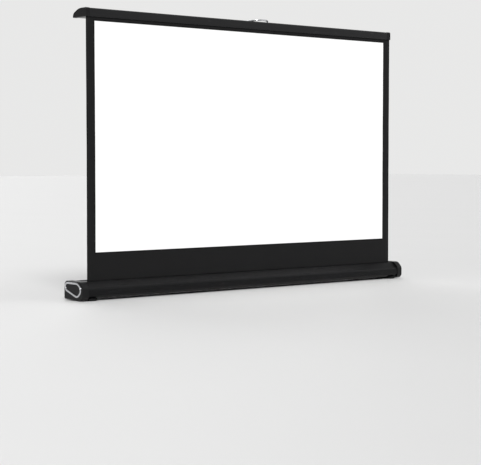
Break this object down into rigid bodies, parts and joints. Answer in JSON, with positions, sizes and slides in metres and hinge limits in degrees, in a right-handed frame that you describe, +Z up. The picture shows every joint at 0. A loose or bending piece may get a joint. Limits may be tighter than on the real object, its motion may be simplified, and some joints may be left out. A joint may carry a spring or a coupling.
{
  "type": "table-top projection screen",
  "caption": "Portable pull-up projection screen for a table top: a white fabric with black borders between a low case and a top bar, with a carrying ring, folding rear arms and swivel feet.",
  "frame": {"origin": "on the floor plane, under the middle of the whole object", "axes": "+X along the case to the right as seen from the front, +Y to the back, away from the viewer, +Z up; the screen faces -Y"},
  "size_m": [1.2334, 0.124, 0.7942],
  "materials": {
    "satin_black_aluminium": "satin",
    "black_plastic": "satin moulded",
    "silver_trim": "satin plated",
    "screen_cloth": "matte white with black borders",
    "black_felt": "brushed felt",
    "black_rubber": "matte",
    "bare_steel": "zinc plated",
    "painted_bracket": "satin",
    "painted_arm": "black anodised",
    "nylon_washer": "natural nylon",
    "bare_aluminium": "mill finish"
  },
  "bodies": {
    "case": {"case_shell": "satin_black_aluminium", "case_front_cover": "satin_black_aluminium", "cover_screws": "bare_steel", "end_cap_left": "black_plastic", "end_cap_right": "black_plastic", "trim_ring_left": "silver_trim", "trim_ring_right": "silver_trim", "slot_strip_front": "black_felt", "slot_strip_rear": "black_felt", "deck_bumpers": "black_rubber", "roller_bracket_left": "bare_steel", "roller_bracket_right": "bare_steel", "spring_shaft": "bare_steel", "roller_spring": "bare_steel", "screen_fabric": "screen_cloth", "arm_base_bracket_left": "painted_bracket", "arm_base_bracket_right": "painted_bracket", "base_pivot_pin_left": "bare_steel", "base_pivot_pin_right": "bare_steel", "lift_spring_left": "bare_steel", "lift_spring_right": "bare_steel", "bracket_screws": "bare_steel", "foot_screw_left": "bare_steel", "foot_screw_right": "bare_steel"},
    "roller": {"roller_tube": "bare_aluminium", "roller_plug_left": "black_plastic", "roller_plug_right": "black_plastic", "gudgeon_pin": "bare_steel", "fabric_turns": "screen_cloth"},
    "lower_arm_right": {"lower_arm_right": "painted_arm", "elbow_pin_right": "bare_steel", "elbow_washer_right": "nylon_washer"},
    "upper_arm_right": {"upper_arm_right": "painted_arm"},
    "lower_arm_left": {"lower_arm_left": "painted_arm", "elbow_pin_left": "bare_steel", "elbow_washer_left": "nylon_washer"},
    "upper_arm_left": {"upper_arm_left": "painted_arm"},
    "top_bar": {"top_bar": "satin_black_aluminium", "bar_end_cap_left": "black_plastic", "bar_end_cap_right": "black_plastic", "hem_batten": "satin_black_aluminium", "arm_top_bracket_left": "painted_bracket", "arm_top_bracket_right": "painted_bracket", "top_pivot_pin_left": "bare_steel", "top_pivot_pin_right": "bare_steel", "handle_knuckle": "black_plastic", "handle_screws": "bare_steel"},
    "ring": {"ring_handle": "silver_trim", "ring_pin": "bare_steel"},
    "foot_right": {"swivel_foot_right": "black_plastic", "foot_pad_right": "black_rubber"},
    "foot_left": {"swivel_foot_left": "black_plastic", "foot_pad_left": "black_rubber"}
  },
  "joints": [
    {"name": "lift", "type": "hinge", "parent": "case", "child": "lower_arm_right", "pos_m": [0.06, 0.01, 0.027], "axis": [0, 1, 0], "range_deg": [0, 82], "deforming": ["screen_fabric"]},
    {"name": "elbow_right", "type": "hinge", "parent": "lower_arm_right", "child": "upper_arm_right", "pos_m": [0.10993, 0.0038, 0.38225], "axis": [0, -1, 0], "range_deg": [0, 164]},
    {"name": "bar_level", "type": "hinge", "parent": "upper_arm_right", "child": "top_bar", "pos_m": [0.06, -0.0014, 0.7375], "axis": [0, 1, 0], "range_deg": [0, 82]},
    {"name": "lift_left", "type": "hinge", "parent": "case", "child": "lower_arm_left", "pos_m": [-0.06, 0.01, 0.027], "axis": [0, -1, 0], "range_deg": [0, 82]},
    {"name": "elbow_left", "type": "hinge", "parent": "lower_arm_left", "child": "upper_arm_left", "pos_m": [-0.10993, 0.0038, 0.38225], "axis": [0, 1, 0], "range_deg": [0, 164]},
    {"name": "roller_spin", "type": "hinge", "parent": "case", "child": "roller", "pos_m": [0, -0.0226, 0.027], "axis": [1, 0, 0], "range_deg": [0, 3327]},
    {"name": "ring_swing", "type": "hinge", "parent": "top_bar", "child": "ring", "pos_m": [0.048, 0.039, 0.78303], "axis": [-1, 0, 0], "range_deg": [0, 110]},
    {"name": "foot_swing_right", "type": "hinge", "parent": "case", "child": "foot_right", "pos_m": [0.5765, -0.045, 0.007], "axis": [0, 0, 1], "range_deg": [0, 90]},
    {"name": "foot_swing_left", "type": "hinge", "parent": "case", "child": "foot_left", "pos_m": [-0.5765, -0.045, 0.007], "axis": [0, 0, -1], "range_deg": [0, 90]}
  ],
  "couplings": [
    {"joint": "elbow_right", "follows": "lift", "ratio": 2},
    {"joint": "bar_level", "follows": "lift", "ratio": 1},
    {"joint": "lift_left", "follows": "lift", "ratio": 1},
    {"joint": "elbow_left", "follows": "lift", "ratio": 2},
    {"joint": "roller_spin", "follows": "lift", "ratio": 40.537}
  ]
}
